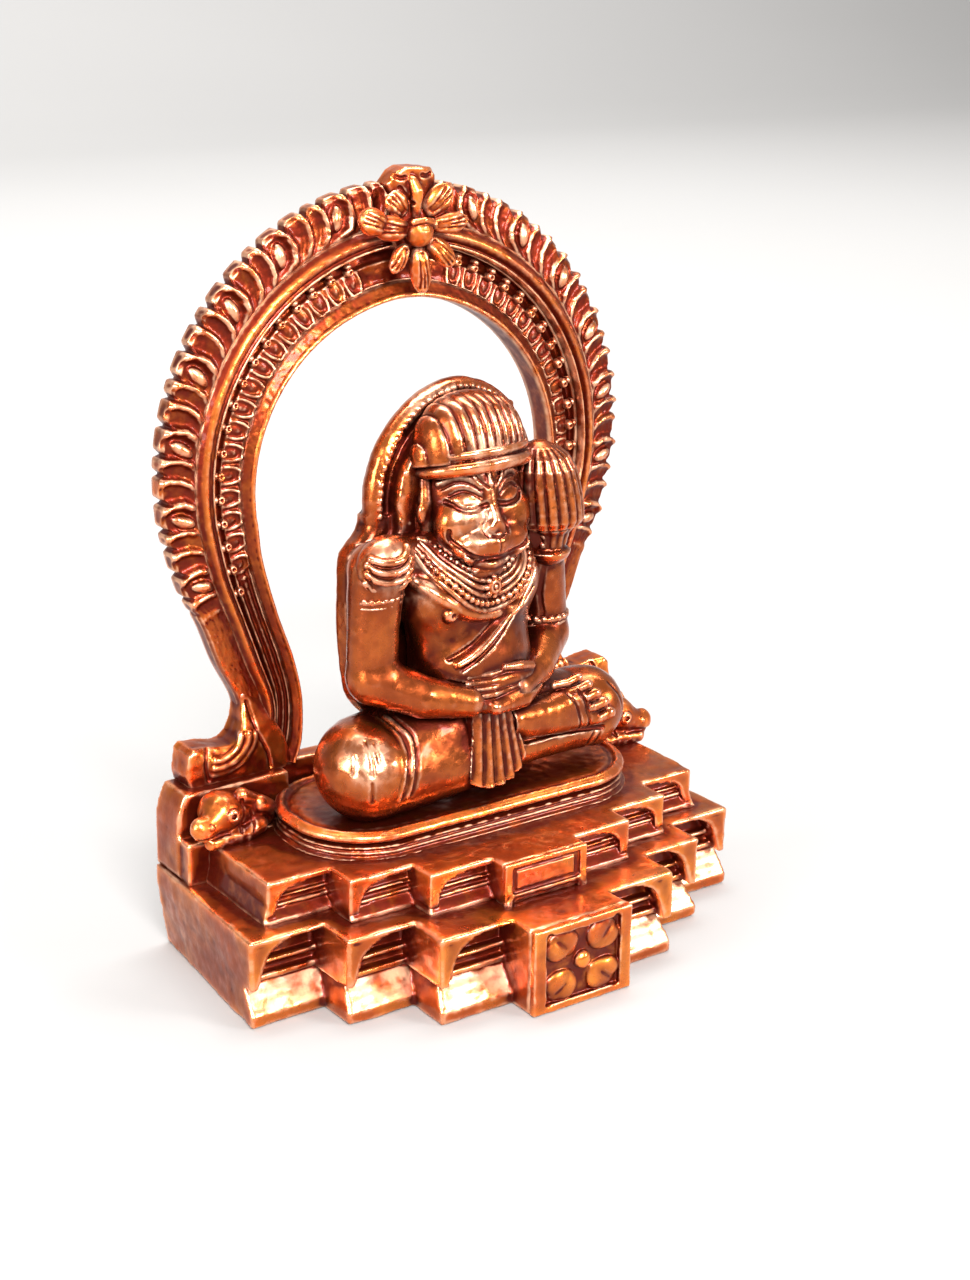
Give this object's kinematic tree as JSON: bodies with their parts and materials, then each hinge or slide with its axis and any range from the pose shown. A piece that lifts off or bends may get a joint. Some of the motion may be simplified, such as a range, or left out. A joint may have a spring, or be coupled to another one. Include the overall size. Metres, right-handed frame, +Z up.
{
  "type": "seated deity statue",
  "caption": "Small cast metal shrine statue: a seated monkey-faced figure with a mace on an oval plinth, stepped pedestal and horseshoe halo arch behind.",
  "frame": {"origin": "under the middle of the pedestal, at the centre of the bottom of the bounding box", "axes": "+Z up, the front of the statue faces -Y, +X is the figure's left"},
  "size_m": [0.1, 0.0581, 0.1313],
  "materials": {
    "pedestal_metal": "cast copper-toned metal, semi-gloss, dark brown patina in the recesses",
    "arch_metal": "cast copper-toned metal, semi-gloss, bright rubbed edges",
    "figure_metal": "cast copper-toned metal, smoother and glossier than the pedestal",
    "stud_metal": "plain turned rod"
  },
  "bodies": {
    "root": {"lower_course": "pedestal_metal", "upper_course": "pedestal_metal", "rear_block": "pedestal_metal", "rosette_plaque": "pedestal_metal", "framed_panel": "pedestal_metal", "plinth_base": "pedestal_metal", "plinth_top": "pedestal_metal", "corner_creature_left": "pedestal_metal", "corner_creature_right": "pedestal_metal", "arch_frame": "arch_metal", "arch_inner_lip": "arch_metal", "arch_ridge": "arch_metal", "arch_beads": "arch_metal", "flame_border": "arch_metal", "arch_scroll_left": "arch_metal", "arch_scroll_right": "arch_metal", "boss_petals": "arch_metal", "boss_bud": "arch_metal", "crown_knob": "arch_metal", "back_plate": "figure_metal", "torso": "figure_metal", "right_leg": "figure_metal", "left_leg": "figure_metal", "right_foot": "figure_metal", "right_arm": "figure_metal", "left_arm": "figure_metal", "hands": "figure_metal", "pleated_sash": "figure_metal", "head": "figure_metal", "cap": "figure_metal", "headband": "figure_metal", "ears": "figure_metal", "earrings": "figure_metal", "necklace_inner": "figure_metal", "necklace_outer": "figure_metal", "pendant": "figure_metal", "sacred_thread": "figure_metal", "shoulder_ornaments": "figure_metal", "armlets": "figure_metal", "mace_head": "figure_metal", "mace_collar": "figure_metal", "locating_stud": "stud_metal"}
  },
  "joints": []
}
